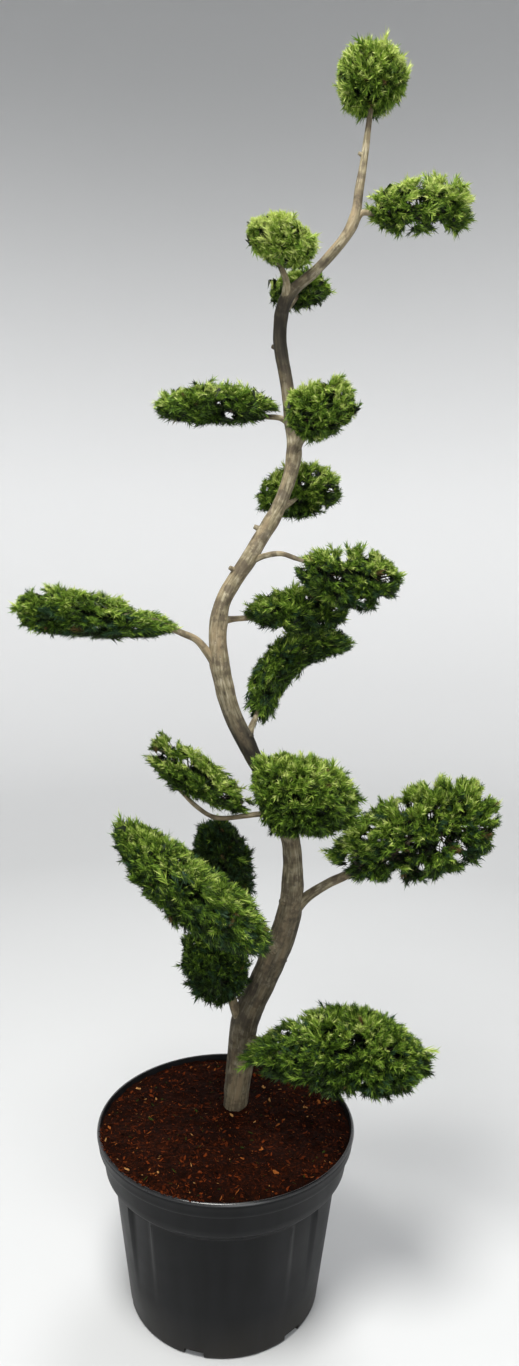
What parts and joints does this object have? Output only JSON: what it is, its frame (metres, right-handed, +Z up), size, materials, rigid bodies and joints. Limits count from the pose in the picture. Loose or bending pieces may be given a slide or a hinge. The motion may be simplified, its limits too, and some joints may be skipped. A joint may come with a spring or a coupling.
{
  "type": "cloud-pruned conifer in a nursery pot",
  "caption": "Cloud-pruned topiary conifer: a winding S-shaped trunk with clipped pads of foliage on short boughs, standing in a round black nursery pot.",
  "frame": {"origin": "centre of the pot's flat underside, on the surface it stands on", "axes": "+Z up along the plant, +X to the right in the front view, -Y towards the viewer"},
  "size_m": [0.9042, 0.51, 2.3819],
  "materials": {
    "pot": "matt charcoal-black moulded plastic, slightly worn",
    "compost": "moist composted bark and fibre with pale chips",
    "bark": "grey-brown bark with fine upright fissures",
    "foliage_lime": "clipped scale foliage with fresh lime-green tips",
    "foliage_mid": "clipped scale foliage, mid green",
    "foliage_deep": "clipped scale foliage, deep green",
    "foliage_dark": "shaded scale foliage, very dark green"
  },
  "bodies": {
    "root": {"pot": "pot", "compost": "compost", "trunk": "bark", "bough_high_right": "bark", "bough_high_left": "bark", "bough_high_back": "bark", "bough_upper_left": "bark", "bough_upper_front": "bark", "bough_mid_back": "bark", "bough_mid_right": "bark", "bough_mid_centre": "bark", "bough_mid_low": "bark", "bough_long_left": "bark", "bough_low_left": "bark", "bough_centre_front": "bark", "bough_big_right": "bark", "bough_low_back": "bark", "bough_low_front": "bark", "bough_low_under": "bark", "bough_foot_right": "bark", "foliage_high_right": "foliage_mid", "foliage_high_left": "foliage_lime", "foliage_high_back": "foliage_deep", "foliage_upper_left": "foliage_deep", "foliage_upper_front": "foliage_lime", "foliage_mid_back": "foliage_deep", "foliage_mid_right": "foliage_deep", "foliage_mid_centre": "foliage_deep", "foliage_mid_low": "foliage_deep", "foliage_long_left": "foliage_deep", "foliage_low_left": "foliage_deep", "foliage_centre_front": "foliage_mid", "foliage_big_right": "foliage_deep", "foliage_low_back": "foliage_dark", "foliage_low_front": "foliage_mid", "foliage_low_under": "foliage_dark", "foliage_foot_right": "foliage_mid", "foliage_top": "foliage_lime"}
  },
  "joints": []
}
